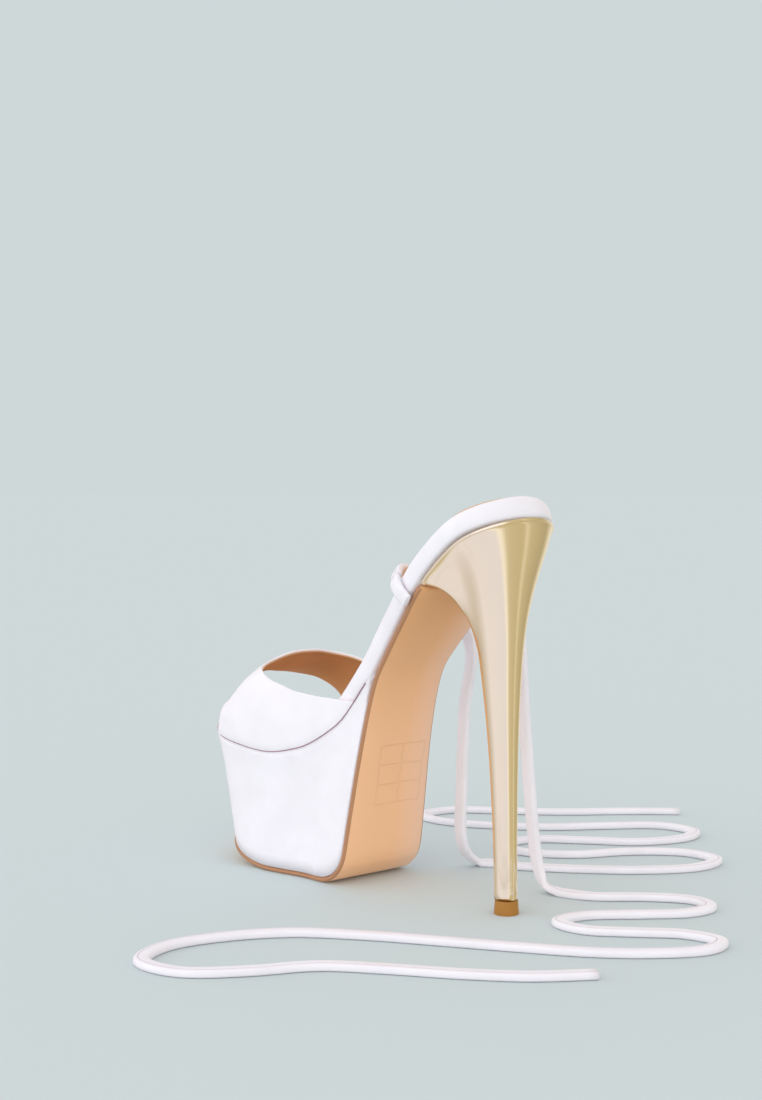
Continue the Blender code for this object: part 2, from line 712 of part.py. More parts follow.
def make_tie(name, collection):
    """One tie lying down uncoiled, as a plain round cord along its route."""
    line = smooth_route(tie_points(TIE_ROUTES[name]))
    curve = bpy.data.curves.new(name, "CURVE")
    curve.dimensions = "3D"
    curve.bevel_depth = TIE_THICKNESS / 2
    curve.bevel_resolution = 2
    curve.use_fill_caps = True
    spline = curve.splines.new("POLY")
    spline.points.add(len(line) - 1)
    for point, place in zip(spline.points, line):
        point.co = (place.x, place.y, max(place.z, TIE_FLOOR), 1)
    tie = bpy.data.objects.new(name, curve)
    tie.data.materials.append(make_material(name + "_leather", (0.89, 0.87, 0.91), 0.4))
    collection.objects.link(tie)
    return tie


def main():
    clear_scene()
    collection = bpy.data.collections.new("lace_up_heeled_sandal")
    bpy.context.scene.collection.children.link(collection)
    sole = Sole()
    make_footbed(collection)
    make_sock(collection)
    make_outsole(sole, collection)
    make_platform(sole, collection)
    make_heel(collection)
    make_heel_tip(collection)
    make_vamp(collection)
    make_tie_tab("tie_tab_left", -1, collection)
    make_tie_tab("tie_tab_right", 1, collection)
    for name in TIE_ROUTES:
        make_tie(name, collection)


main()
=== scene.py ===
"""Finish of the lace-up platform sandal: leather, lining, plating, the seam's painted shade and the two
loose ties.
"""

import math

import bmesh
import bpy
import numpy as np
from mathutils import Matrix, Vector


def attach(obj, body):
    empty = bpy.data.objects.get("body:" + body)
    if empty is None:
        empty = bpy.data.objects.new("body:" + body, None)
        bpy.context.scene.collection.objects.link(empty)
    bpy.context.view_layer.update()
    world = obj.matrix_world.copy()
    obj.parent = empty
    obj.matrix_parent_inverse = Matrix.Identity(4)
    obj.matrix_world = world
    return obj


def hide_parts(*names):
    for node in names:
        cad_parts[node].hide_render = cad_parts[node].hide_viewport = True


bl_info = {
    "name": "Lace-up platform sandal",
    "version": (1, 0, 0),
    "blender": (4, 5, 0),
    "location": "View3D > Sidebar > Sandal",
    "description": "Dresses the sandal's frame in leather, lining, plating and ties",
    "category": "Object",
}

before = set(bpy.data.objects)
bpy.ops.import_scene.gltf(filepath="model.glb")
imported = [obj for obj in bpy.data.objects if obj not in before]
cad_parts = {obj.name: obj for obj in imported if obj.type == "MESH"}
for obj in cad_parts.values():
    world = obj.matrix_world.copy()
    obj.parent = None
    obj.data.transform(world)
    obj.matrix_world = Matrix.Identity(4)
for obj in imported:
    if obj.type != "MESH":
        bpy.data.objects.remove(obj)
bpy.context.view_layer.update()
MM = 0.001
BODY = "root"
UV_MAP = "UVMap"

# Sizes of the last, as in the part's source
SHOE_LENGTH = 203 * MM
SEAT_OVERHANG = 15 * MM
SEAT_HEIGHT = 167 * MM
PLATFORM_HEIGHT = 56.5 * MM
DECK_TOE_LIFT = 9 * MM
SEAT_WIDTH = 56 * MM
WAIST_WIDTH = 41 * MM
BALL_WIDTH = 71 * MM
SEAT_ROUND = 0.10
TOE_ROUND = 0.21
TOE_SQUARENESS = 2.2
FOOTBED_THICKNESS = 10.4 * MM
SOLE_THICKNESS = 2.2 * MM
CLEARANCE = 0.3 * MM
INSTEP_HEIGHT = 35 * MM
TIE_FLOOR = 1.6 * MM

# How many points the deck's line has, and over how many of them its soft normals are spread
DECK_POINTS = 161
SOFTEN_POINTS = 31

DECK = (
    dict(along=0.00, rise=1.000, lift=0.00),
    dict(along=0.10, rise=0.902, lift=0.00),
    dict(along=0.20, rise=0.745, lift=0.00),
    dict(along=0.30, rise=0.552, lift=0.00),
    dict(along=0.40, rise=0.328, lift=0.00),
    dict(along=0.50, rise=0.135, lift=0.00),
    dict(along=0.60, rise=0.033, lift=0.00),
    dict(along=0.70, rise=0.000, lift=0.02),
    dict(along=0.85, rise=0.000, lift=0.33),
    dict(along=1.00, rise=0.000, lift=1.00),
)
OUTLINE = (
    dict(along=0.00, width=SEAT_WIDTH, half=0.47, shift=0.000),
    dict(along=0.10, width=SEAT_WIDTH, half=0.49, shift=0.000),
    dict(along=0.18, width=SEAT_WIDTH, half=0.50, shift=0.000),
    dict(along=0.30, width=SEAT_WIDTH, half=0.41, shift=0.000),
    dict(along=0.40, width=WAIST_WIDTH, half=0.50, shift=0.000),
    dict(along=0.47, width=WAIST_WIDTH, half=0.51, shift=0.004),
    dict(along=0.55, width=BALL_WIDTH, half=0.36, shift=0.020),
    dict(along=0.65, width=BALL_WIDTH, half=0.45, shift=0.050),
    dict(along=0.75, width=BALL_WIDTH, half=0.50, shift=0.062),
    dict(along=0.85, width=BALL_WIDTH, half=0.50, shift=0.055),
    dict(along=1.00, width=BALL_WIDTH, half=0.47, shift=0.045),
)
VAMP = (
    dict(along=0.40, height=1.27, square=2.5, lean=0.00),
    dict(along=0.50, height=1.19, square=2.5, lean=0.00),
    dict(along=0.60, height=1.10, square=2.5, lean=0.00),
    dict(along=0.70, height=1.00, square=2.5, lean=0.00),
    dict(along=0.80, height=0.87, square=2.3, lean=0.03),
    dict(along=0.86, height=0.68, square=2.1, lean=0.08),
    dict(along=0.92, height=0.45, square=2.0, lean=0.12),
    dict(along=1.00, height=0.24, square=1.9, lean=0.14),
)
VAMP_EDGES = (
    dict(across=0.00, throat=0.436, peep=0.885),
    dict(across=0.05, throat=0.454, peep=0.880),
    dict(across=0.08, throat=0.465, peep=0.876),
    dict(across=0.10, throat=0.475, peep=0.872),
    dict(across=0.12, throat=0.501, peep=0.867),
    dict(across=0.16, throat=0.550, peep=0.857),
    dict(across=0.20, throat=0.610, peep=0.849),
    dict(across=0.30, throat=0.781, peep=0.850),
    dict(across=0.38, throat=0.816, peep=0.884),
    dict(across=0.46, throat=0.804, peep=0.922),
    dict(across=0.54, throat=0.800, peep=0.943),
    dict(across=0.62, throat=0.788, peep=0.942),
    dict(across=0.70, throat=0.712, peep=0.921),
    dict(across=0.78, throat=0.580, peep=0.896),
    dict(across=0.86, throat=0.496, peep=0.858),
    dict(across=0.92, throat=0.465, peep=0.833),
    dict(across=1.00, throat=0.438, peep=0.815),
)

# The upper's foot: its share of the way across, how far it is tucked in, and how far it drops
VAMP_FOOT = 0.10
FOOT_TUCK = 1.1 * MM
FOOT_TUCK_SHARE = 0.035
FOOT_DROP = 0.35 * MM

# The upper's layers: their heights above its inside, and their reach from the throat's rim, which is
# counted back from the peep toe's rim where it isn't above 0
VAMP_COLUMNS = 96
OUTER_LAYER = dict(low=0.55 * MM, start=0.0, stop=0.0, rows=44)
LINING_LAYER = dict(low=0.0, high=0.5 * MM, start=1.6 * MM, stop=-0.8 * MM, rows=40)
BINDING_LAYER = dict(low=0.02 * MM, high=0.53 * MM, start=0.5 * MM, stop=1.6 * MM, rows=2)
OUTER_ROUND = 0.48 * MM
LINING_ROUND = 0.2 * MM
ROUND_ANGLE = 50

# How far the sock lies below its node, and the rounding of the heel tip
SOCK_SINK = 0.8 * MM
TIP_ROUND = 0.35 * MM
TIP_ROUND_ANGLE = 40

# The seam between upper and platform, drawn as a dark tube of painted shade in its groove, which fades out
# at the toe
SEAM_START = 0.40
SEAM_OUT = 0.85 * MM
SEAM_FADE = (0.87, 0.94)
SEAM_TOE = 0.997
SEAM_DROP = 0.2 * MM
SEAM_WIDTH = 0.65 * MM
SEAM_STEPS = 60
SEAM_AROUND = 8

# How nodes' meshes are merged, joined to four-sided faces and held at their edges when subdivided
MERGE = 2e-6
WELD = 1e-6
JOIN_FACE_ANGLE = 30
JOIN_SHAPE_ANGLE = 60
CREASE_ANGLE = 50
SMOOTH_LEVELS = 2
CREASES = dict(footbed=0.6, insole_sock=1.0, outsole=0.85, platform=1.0, heel=0.7, tie_tab=0.15)

# What tells the outsole's narrow edge from its broad faces
RIM_FACING = 0.75
RIM_SLACK = 0.3 * MM
RIM_TURN = 0.05
RIM_DOWN = -0.5

# The blank size grid and the fine ribs pressed into the outsole's rear face
GRID_SIDE = (-9 * MM, 17 * MM)
GRID_HEIGHT = (36 * MM, 63 * MM)
GRID_LINE = 0.45 * MM
GRID_ROWS = 3
GRID_COLUMNS = 2
RIB_HEIGHT = (3 * MM, 8.5 * MM)
RIB_PITCH = 1.1 * MM
MARK_DEPTH = 0.15 * MM

# The outsole's tones: what mottle adds, the painted shade that marks and ribs add in their grooves, its
# paler top, and the painted sheen (a pale highlight) on its inner side
MOTTLE_TONE = 0.12
MARK_SHADE = 0.07
RIB_SHADE = 0.12
SOLE_TOP_TINT = (0.88, 0.80, 0.64)
PAINTED_SHEEN_SIDE = (4 * MM, 24 * MM)
PAINTED_SHEEN_SHARE = 0.8
PAINTED_SHEEN_COLOR = (0.98, 0.66, 0.50, 1)

# The ties' stitched line, by the share of the way round the strap, and the tint of the painted shade that
# darkens its groove
STITCH_AROUND = 0.198
STITCH_WIDTH = 0.004
STITCH_LENGTH = 3 * MM
STITCH_GAP = 0.12
STITCH_RAISE = 0.8
STITCH_DEPTH = 0.25 * MM
STITCH_SHADE_TINT = (0.80, 0.72, 0.82)

# How much of the grain's relief is left where something is pressed or stitched
FINE_GRAIN = 0.1

# The ties' rounded corners, and how their flat side leans over the footbed and where they land
STRAP_CORNER = 0.36
STRAP_CORNER_POINTS = 4
TAB_LEAN = 0.8
OVER_LEAN = 0.35
LANDING = 0.2
LANDING_LEAN = 0.5

# The ties' routes, as in the part's source
TIE_ROUTES = {
    "tie_left": dict(
        over=(
            (0.236, -0.943, 2), (0.238, -0.8, 5.8), (0.246, -0.56, 8.8), (0.262, -0.26, 8.6),
            (0.278, 0.09, 6.6), (0.29, 0.47, 4.9), (0.302, 0.86, 4.1), (0.318, 1.2, 2.4),
        ),
        fall=(
            (0.345, 11, 0.86), (0.37, 12.5, 0.64), (0.385, 14, 0.36), (0.4, 17, 0.12),
        ),
        floor=(
            (53, 70), (63, 51), (79, 30), (99, 10), (122, -3), (142, 1), (143, 21), (125, 40),
            (101, 52), (86, 71), (89, 90), (110, 90), (128, 71), (145, 51), (169, 42), (186, 50),
            (184, 71), (162, 89), (139, 105), (120, 126), (107, 151), (110, 172), (132, 172),
            (152, 151), (174, 128), (200, 108), (222, 88),
        ),
    ),
    "tie_right": dict(
        over=(
            (0.236, 0.943, 2), (0.232, 0.79, 6), (0.215, 0.64, 9), (0.195, 0.645, 9.8),
            (0.178, 0.82, 8.8), (0.172, 1.05, 5.4),
        ),
        fall=(
            (0.195, 6.5, 0.95), (0.215, 8.8, 0.82), (0.2, 10, 0.44), (0.165, 10.4, 0.07),
        ),
        floor=(
            (39, 6), (45, -9), (61, -24), (72, -40), (68, -53), (53, -53), (36, -41), (18, -28),
            (2, -28), (1, -43), (13, -58), (26, -73), (28, -89), (14, -93), (-5, -82), (-22, -65),
            (-37, -43), (-53, -18), (-70, 8), (-90, 31), (-115, 44), (-139, 47), (-157, 36),
            (-154, 15), (-135, 0), (-111, -12), (-94, -32), (-78, -54), (-61, -73), (-41, -87),
        ),
    ),
}

# The finishes that are plain leather or plastic, each with its colour's place in the panel
PLAIN_FINISHES = {
    "lining": dict(group="sandal_leather", color="lining", roughness=0.6, depth=0.05 * MM, tone=0.08,
                   coat=0.0),
    "lining_edge": dict(group="sandal_leather", color="binding", roughness=0.65, depth=0.05 * MM,
                        tone=0.08, coat=0.0),
    # The seam's colour is painted shade in the groove between upper and platform
    "seam": dict(group="sandal_leather", color="seam", roughness=0.7, tone=0.1, coat=0.0),
    "sole_edge": dict(group="sandal_sole", color="edge", roughness=0.45, tone=0.06, coat=0.1),
    "heel_tip": dict(group="sandal_sole", color="tip", roughness=0.5, scale=2600, tone=0.06, coat=0.0),
}

# The studio. The panels are mirrored by the plating, by degrees round from behind the camera.
FLOOR_RADIUS = 40
KEY_AIM = (0.62, 0.45, -0.75)
KEY_SPREAD = 60
KEY_COLOR = (1.0, 1.0, 0.99)
SKY_LOW = 1.68
SKY_HIGH = 0.64
SKY_SIDE = (-0.85, 0.50, 0.16)
SKY_TONES = (
    (0.00, (0.82, 0.78, 0.76)),
    (0.50, (0.985, 0.99, 0.985)),
    (1.00, (1.25, 1.25, 1.27)),
)
VIEW_RIGHT = (0.754, -0.655, 0.0)
VIEW_BACK = (-0.655, -0.754, 0.0)
PANEL_TONES = (
    (-180, (0.70, 0.66, 0.62)),
    (-120, (0.62, 0.55, 0.48)),
    (-70, (0.92, 0.89, 0.98)),
    (24, (0.88, 0.86, 0.97)),
    (27, (1.10, 1.05, 1.00)),
    (33, (1.05, 1.00, 0.88)),
    (39, (0.69, 0.60, 0.42)),
    (74, (0.62, 0.53, 0.33)),
    (79, (0.95, 0.88, 0.70)),
    (84, (0.64, 0.56, 0.36)),
    (128, (0.50, 0.43, 0.27)),
    (150, (0.90, 0.84, 0.70)),
    (180, (0.75, 0.70, 0.62)),
)


class SandalCamera(bpy.types.PropertyGroup):
    lens: bpy.props.FloatProperty(
        name="Lens", description="Focal length", default=54.64, unit="CAMERA")
    place: bpy.props.FloatVectorProperty(
        name="Place", description="Where the camera stands", default=(-0.4944, -0.4890, 0.1788),
        unit="LENGTH")
    aim: bpy.props.FloatVectorProperty(
        name="Aim", description="Direction that the camera looks in", default=(0.655, 0.754, -0.038))


class SandalLeather(bpy.types.PropertyGroup):
    color: bpy.props.FloatVectorProperty(
        name="Leather", description="Colour of the white leather", subtype="COLOR",
        default=(0.905, 0.870, 0.920))
    roughness: bpy.props.FloatProperty(
        name="Roughness", description="Roughness of the white leather", default=0.42)
    lining: bpy.props.FloatVectorProperty(
        name="Lining", description="Colour of the lining", subtype="COLOR", default=(0.68, 0.39, 0.18))
    # The seam's colour is painted shade in its groove round the platform
    seam: bpy.props.FloatVectorProperty(
        name="Seam", description="Colour of the seam round the platform", subtype="COLOR",
        default=(0.36, 0.21, 0.24))
    binding: bpy.props.FloatVectorProperty(
        name="Lining edge", description="Colour of the lining's cut edge", subtype="COLOR",
        default=(0.80, 0.52, 0.32))
    wall: bpy.props.FloatProperty(
        name="Upper's wall", description="Thickness of the upper", default=1.6 * MM, unit="LENGTH")


class SandalSole(bpy.types.PropertyGroup):
    color: bpy.props.FloatVectorProperty(
        name="Outsole", description="Colour of the outsole", subtype="COLOR", default=(0.98, 0.56, 0.31))
    edge: bpy.props.FloatVectorProperty(
        name="Outsole edge", description="Colour of the outsole's painted edge", subtype="COLOR",
        default=(0.48, 0.235, 0.12))
    tip: bpy.props.FloatVectorProperty(
        name="Heel tip", description="Colour of the heel tip", subtype="COLOR", default=(0.42, 0.19, 0.035))


class SandalPlating(bpy.types.PropertyGroup):
    color: bpy.props.FloatVectorProperty(
        name="Plating", description="Colour of the plated heel", subtype="COLOR",
        default=(0.90, 0.80, 0.62))
    roughness: bpy.props.FloatProperty(
        name="Plating roughness", description="Roughness of the plated heel", default=0.17)


class SandalTies(bpy.types.PropertyGroup):
    width: bpy.props.FloatProperty(
        name="Tie width", description="Width of the flat ties", default=6.2 * MM, unit="LENGTH")
    thickness: bpy.props.FloatProperty(
        name="Tie thickness", description="Thickness of the folded ties", default=3.0 * MM,
        unit="LENGTH")
    steps: bpy.props.IntProperty(
        name="Steps", description="Sections between two route points", default=6)


class SandalStage(bpy.types.PropertyGroup):
    floor: bpy.props.FloatVectorProperty(
        name="Floor", description="Colour of the floor and the backdrop", subtype="COLOR",
        default=(0.617, 0.686, 0.694))
    sky: bpy.props.FloatProperty(
        name="Studio light", description="Strength of the light from all round", default=0.95)
    key: bpy.props.FloatProperty(
        name="Key light", description="Strength of the soft key light", default=0.2)


GROUPS = {
    "sandal_camera": SandalCamera,
    "sandal_leather": SandalLeather,
    "sandal_sole": SandalSole,
    "sandal_plating": SandalPlating,
    "sandal_ties": SandalTies,
    "sandal_stage": SandalStage,
}


def smooth(rows, key, column, free=False):
    """A smooth line through one column of a short table; only a free one may overshoot between rows."""
    xs = np.array([row[key] for row in rows])
    ys = np.array([row[column] for row in rows])
    step = np.diff(xs)
    slope = np.diff(ys) / step
    bend = np.zeros(len(ys))
    bend[0] = slope[0]
    bend[-1] = slope[-1]
    for i in range(1, len(ys) - 1):
        if free:
            bend[i] = (slope[i] * step[i - 1] + slope[i - 1] * step[i]) / (step[i] + step[i - 1])
        elif slope[i] * slope[i - 1] > 0:
            bend[i] = 2 * slope[i] * slope[i - 1] / (slope[i] + slope[i - 1])

    def value(x):
        x = min(max(x, xs[0]), xs[-1])
        i = min(max(int(np.searchsorted(xs, x)) - 1, 0), len(step) - 1)
        u = (x - xs[i]) / step[i]
        start = ys[i] * (1 + 2 * u) * (1 - u) ** 2 + bend[i] * step[i] * u * (1 - u) ** 2
        end = ys[i + 1] * u * u * (3 - 2 * u) - bend[i + 1] * step[i] * u * u * (1 - u)
        return start + end

    return value


class Rail:
    """A line in the side view, measured along its own length, with the direction square to it."""

    def __init__(self, points):
        self.points = np.array(points)
        self.along = np.concatenate([[0.0], np.cumsum(np.hypot(*np.diff(self.points, axis=0).T))])
        run = np.gradient(self.points, self.along, axis=0)
        run /= np.hypot(*run.T)[:, None]
        self.normals = np.stack([-run[:, 1], run[:, 0]], axis=1)
        spread = np.hanning(SOFTEN_POINTS)
        padded = np.pad(self.normals, ((SOFTEN_POINTS // 2, SOFTEN_POINTS // 2), (0, 0)), mode="edge")
        soft = np.stack([np.convolve(padded[:, i], spread, mode="valid") for i in (0, 1)], axis=1)
        self.soft_normals = soft / np.hypot(*soft.T)[:, None]

    def up(self, along, soft=False):
        """The direction square to the line; a soft one turns evenly past the line's bends."""
        normals = self.soft_normals if soft else self.normals
        return Vector((0, *(float(np.interp(along, self.along, normals[:, i])) for i in (0, 1))))

    def place(self, along, side, lift):
        """A point at a length along the line, to a side of it and lifted square to it."""
        y, z = (np.interp(along, self.along, self.points[:, i]) for i in (0, 1))
        return Vector((side, y, z)) + self.up(along) * lift

    def reach(self, y):
        """The length along the line at a place in plan."""
        return float(np.interp(y, self.points[:, 0], self.along))


def deck_rail():
    """The underside of the footbed, from the back of the seat to the toe."""
    rise = smooth(DECK, "along", "rise")
    lift = smooth(DECK, "along", "lift")
    climb = SEAT_HEIGHT - PLATFORM_HEIGHT
    return Rail([(t * SHOE_LENGTH - SEAT_OVERHANG,
                  PLATFORM_HEIGHT + rise(t) * climb + lift(t) * DECK_TOE_LIFT)
                 for t in np.linspace(0, 1, DECK_POINTS)])


DECK_RAIL = deck_rail()
HALF_WIDTH = smooth([dict(row, half=row["half"] * row["width"]) for row in OUTLINE], "along", "half")
SHIFT = smooth(OUTLINE, "along", "shift")
VAMP_HEIGHT, VAMP_SQUARE, VAMP_LEAN = (smooth(VAMP, "along", key, free=True)
                                       for key in ("height", "square", "lean"))
THROAT = smooth(VAMP_EDGES, "across", "throat", free=True)
PEEP = smooth(VAMP_EDGES, "across", "peep", free=True)


def deck_along(share):
    """The length along the deck at a share of the shoe's length."""
    return DECK_RAIL.reach(share * SHOE_LENGTH - SEAT_OVERHANG)


def deck_edges(share):
    """Where the footbed's outline lies to the left and right, rounded off at both ends."""
    rounding = 1.0
    if share < SEAT_ROUND:
        rounding = math.sqrt(max(0.0, 1 - ((SEAT_ROUND - share) / SEAT_ROUND) ** 2))
    if share > 1 - TOE_ROUND:
        reach = (share - 1 + TOE_ROUND) / TOE_ROUND
        rounding = max(0.0, 1 - reach ** TOE_SQUARENESS) ** (1 / TOE_SQUARENESS)
    half = HALF_WIDTH(share) * rounding
    shift = SHIFT(share) * BALL_WIDTH
    return shift - half, shift + half


def vamp_point(share, across):
    """A point of the upper's inside at a share of the length and a share of the way across."""
    low, high = deck_edges(share)
    low -= CLEARANCE
    high += CLEARANCE
    foot = min(across, 1 - across) / VAMP_FOOT
    if foot <= 1:
        side = low if across < 0.5 else high
        lift = (FOOTBED_THICKNESS + FOOT_DROP) * foot - FOOT_DROP
    else:
        angle = math.pi * (1 - (across - VAMP_FOOT) / (1 - 2 * VAMP_FOOT))
        power = 2 / VAMP_SQUARE(share)
        rise = math.sin(angle) ** power
        reach = math.copysign(abs(math.cos(angle)) ** power, math.cos(angle))
        side = (low + high + (high - low) * reach) / 2 + VAMP_LEAN(share) * BALL_WIDTH * rise
        lift = FOOTBED_THICKNESS + VAMP_HEIGHT(share) * INSTEP_HEIGHT * rise
    along = deck_along(share)
    return DECK_RAIL.place(along, side, 0) + DECK_RAIL.up(along, soft=True) * lift


def tie_points(route):
    """The listed points of a tie, each with the direction that its flat side faces there."""
    points = []
    over = route["over"]
    outward = math.copysign(1, over[0][1])
    leans = {0: outward, 1: outward * TAB_LEAN, len(over) - 2: OVER_LEAN, len(over) - 1: 1.0}
    for i, (share, across, lift) in enumerate(over):
        low, high = deck_edges(share)
        side = (low + high + (high - low) * across) / 2
        along = deck_along(share)
        face = DECK_RAIL.up(along) + Vector((leans.get(i, 0.0), 0, 0))
        points.append((DECK_RAIL.place(along, side, FOOTBED_THICKNESS + lift * MM), face))
    head = points[-1][0].z
    for share, beyond, height in route["fall"]:
        side = deck_edges(share)[1] + beyond * MM
        place = Vector((side, share * SHOE_LENGTH - SEAT_OVERHANG, head * height))
        points.append((place, Vector((1, 0, 0.0 if height > LANDING else LANDING_LEAN))))
    points += [(Vector((x * MM, y * MM, TIE_FLOOR)), Vector((0, 0, 1))) for x, y in route["floor"]]
    return points


def spline(points, steps):
    """A smooth line through points, with a few steps between each two of them."""
    ends = [points[0] * 2 - points[1]] + points + [points[-1] * 2 - points[-2]]
    line = []
    for a, b, c, d in zip(ends, ends[1:], ends[2:], ends[3:]):
        for i in range(steps):
            u = i / steps
            line.append((b * 2 + (c - a) * u + (a * 2 - b * 5 + c * 4 - d) * u * u
                         + (b * 3 - a - c * 3 + d) * u ** 3) / 2)
    return line + [points[-1]]


def keep(name, bm, material, replaced=()):
    """Make a finished piece of a mesh, in place, riding on the shoe's body."""
    mesh = bpy.data.meshes.new(name)
    bm.to_mesh(mesh)
    bm.free()
    piece = bpy.data.objects.new(name, mesh)
    bpy.context.scene.collection.objects.link(piece)
    mesh.materials.append(material)
    mesh.polygons.foreach_set("use_smooth", [True] * len(mesh.polygons))
    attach(piece, BODY)
    if replaced:
        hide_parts(*replaced)
    return piece


def subdivide(piece):
    """Smooth a piece between its creases."""
    modifier = piece.modifiers.new("smooth", "SUBSURF")
    modifier.levels = SMOOTH_LEVELS
    modifier.render_levels = SMOOTH_LEVELS


def node_mesh(node, crease=None):
    """A merged copy of a frame node's mesh in four-sided faces, its sharp edges held by a crease."""
    bm = bmesh.new()
    bm.from_mesh(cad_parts[node].data)
    bmesh.ops.remove_doubles(bm, verts=bm.verts, dist=MERGE)
    bmesh.ops.join_triangles(bm, faces=bm.faces, cmp_seam=False, cmp_sharp=False, cmp_uvs=False,
                             cmp_vcols=False, cmp_materials=False,
                             angle_face_threshold=math.radians(JOIN_FACE_ANGLE),
                             angle_shape_threshold=math.radians(JOIN_SHAPE_ANGLE))
    if crease:
        layers = bm.edges.layers.float
        layer = layers.get("crease_edge") or layers.new("crease_edge")
        for edge in bm.edges:
            if len(edge.link_faces) == 2 and edge.calc_face_angle(0) > math.radians(CREASE_ANGLE):
                edge[layer] = crease
    return bm


# Materials

def new_group(name, inputs, outputs):
    """An empty shader node group with named inputs and outputs."""
    group = bpy.data.node_groups.new(name, "ShaderNodeTree")
    for label, kind, value in inputs:
        socket = group.interface.new_socket(label, in_out="INPUT", socket_type=kind)
        if value is not None:
            socket.default_value = value
    for label, kind in outputs:
        group.interface.new_socket(label, in_out="OUTPUT", socket_type=kind)
    return group, group.nodes.new("NodeGroupInput"), group.nodes.new("NodeGroupOutput")


GRAIN_GROUP = "leather_grain"
GRAIN_SCALE = 1400.0


def grain_group():
    """Fine leather grain: height and a faint unevenness of tone and gloss."""
    group, given, out = new_group(
        GRAIN_GROUP,
        [("Vector", "NodeSocketVector", None), ("Grain Scale", "NodeSocketFloat", GRAIN_SCALE),
         ("Mottle Scale", "NodeSocketFloat", 60.0)],
        [("Height", "NodeSocketFloat"), ("Mottle", "NodeSocketFloat")])
    nodes, links = group.nodes, group.links
    cells = nodes.new("ShaderNodeTexVoronoi")
    cells.feature = "SMOOTH_F1"
    fibre = nodes.new("ShaderNodeTexNoise")
    fibre.inputs["Detail"].default_value = 3
    mix = nodes.new("ShaderNodeMath")
    mix.operation = "MULTIPLY_ADD"
    mix.inputs[1].default_value = 0.6
    mottle = nodes.new("ShaderNodeTexNoise")
    mottle.inputs["Detail"].default_value = 4
    for node in (cells, fibre, mottle):
        links.new(given.outputs["Vector"], node.inputs["Vector"])
    links.new(given.outputs["Grain Scale"], cells.inputs["Scale"])
    links.new(given.outputs["Grain Scale"], fibre.inputs["Scale"])
    links.new(given.outputs["Mottle Scale"], mottle.inputs["Scale"])
    links.new(cells.outputs["Distance"], mix.inputs[0])
    links.new(fibre.outputs["Fac"], mix.inputs[2])
    links.new(mix.outputs[0], out.inputs["Height"])
    links.new(mottle.outputs["Fac"], out.inputs["Mottle"])
    return group


def color_ramp(nodes, links, source, stops):
    """Colours at places from 0 to 1 of a source."""
    ramp = nodes.new("ShaderNodeValToRGB")
    line = ramp.color_ramp.elements
    while len(line) < len(stops):
        line.new(0.5)
    for element, (at, color) in zip(line, stops):
        element.position = at
        element.color = (*color, 1)
    links.new(source, ramp.inputs["Fac"])
    return ramp.outputs["Color"]


class Finish:
    """A Principled material under construction, on Object coordinates."""

    def __init__(self, name, **values):
        self.material = bpy.data.materials.new(name)
        self.material.use_nodes = True
        self.nodes = self.material.node_tree.nodes
        self.links = self.material.node_tree.links
        self.shader = self.nodes["Principled BSDF"]
        self.place = self.nodes.new("ShaderNodeTexCoord").outputs["Object"]
        for label, value in values.items():
            self.shader.inputs[label.replace("_", " ")].default_value = value

    def add_grain(self, **values):
        """Place the shared leather grain, and keep its height and mottle at hand."""
        node = self.nodes.new("ShaderNodeGroup")
        node.node_tree = bpy.data.node_groups.get(GRAIN_GROUP) or grain_group()
        self.links.new(self.place, node.inputs["Vector"])
        for label, value in values.items():
            node.inputs[label.replace("_", " ")].default_value = value
        self.grain, self.mottle = node.outputs["Height"], node.outputs["Mottle"]

    def ramp(self, source, stops):
        """Colours at places from 0 to 1 of a source."""
        return color_ramp(self.nodes, self.links, source, stops)

    def stretch(self, source, low, high, first=0.0, last=1.0):
        """Stretch a source that runs from first to last to run from low to high."""
        node = self.nodes.new("ShaderNodeMapRange")
        for label, value in (("From Min", first), ("From Max", last), ("To Min", low), ("To Max", high)):
            node.inputs[label].default_value = value
        self.links.new(source, node.inputs["Value"])
        return node.outputs["Result"]

    def calc(self, kind, *values):
        """A Math node fed by sockets and numbers."""
        node = self.nodes.new("ShaderNodeMath")
        node.operation = kind
        for socket, value in zip(node.inputs, values):
            if isinstance(value, bpy.types.NodeSocket):
                self.links.new(value, socket)
            else:
                socket.default_value = value
        return node.outputs[0]

    def split(self, source):
        """The three parts of a vector."""
        node = self.nodes.new("ShaderNodeSeparateXYZ")
        self.links.new(source, node.inputs["Vector"])
        return node.outputs

    def bump(self, height, distance):
        """Relief on the surface, 1 in height being a distance in metres."""
        node = self.nodes.new("ShaderNodeBump")
        node.inputs["Strength"].default_value = 1.0
        node.inputs["Distance"].default_value = distance
        self.links.new(height, node.inputs["Height"])
        self.links.new(node.outputs["Normal"], self.shader.inputs["Normal"])

    def color(self, source):
        """Feed the base colour."""
        self.links.new(source, self.shader.inputs["Base Color"])

    def roughness(self, low, high):
        """Let the roughness follow the mottle between two values."""
        self.links.new(self.stretch(self.mottle, low, high), self.shader.inputs["Roughness"])


def shade_of(color, factor):
    """A colour made darker or paler."""
    return tuple(min(1.0, c * factor) for c in color)


def leather_base(name, roughness, scale=GRAIN_SCALE, coat=0.12):
    """Leather with its gloss and its grain, still without colour and relief."""
    finish = Finish(name, Coat_Weight=coat, Coat_Roughness=0.35, Specular_IOR_Level=0.3)
    finish.add_grain(Grain_Scale=scale)
    finish.roughness(roughness - 0.05, roughness + 0.05)
    return finish


def leather_finish(name, color, roughness, scale=GRAIN_SCALE, depth=0.03 * MM, tone=0.03, coat=0.12):
    """Smooth leather with fine grain."""
    finish = leather_base(name, roughness, scale, coat)
    finish.color(finish.ramp(finish.mottle, [(0.3, shade_of(color, 1 - tone)),
                                             (0.7, shade_of(color, 1 + tone))]))
    finish.bump(finish.grain, depth)
    return finish


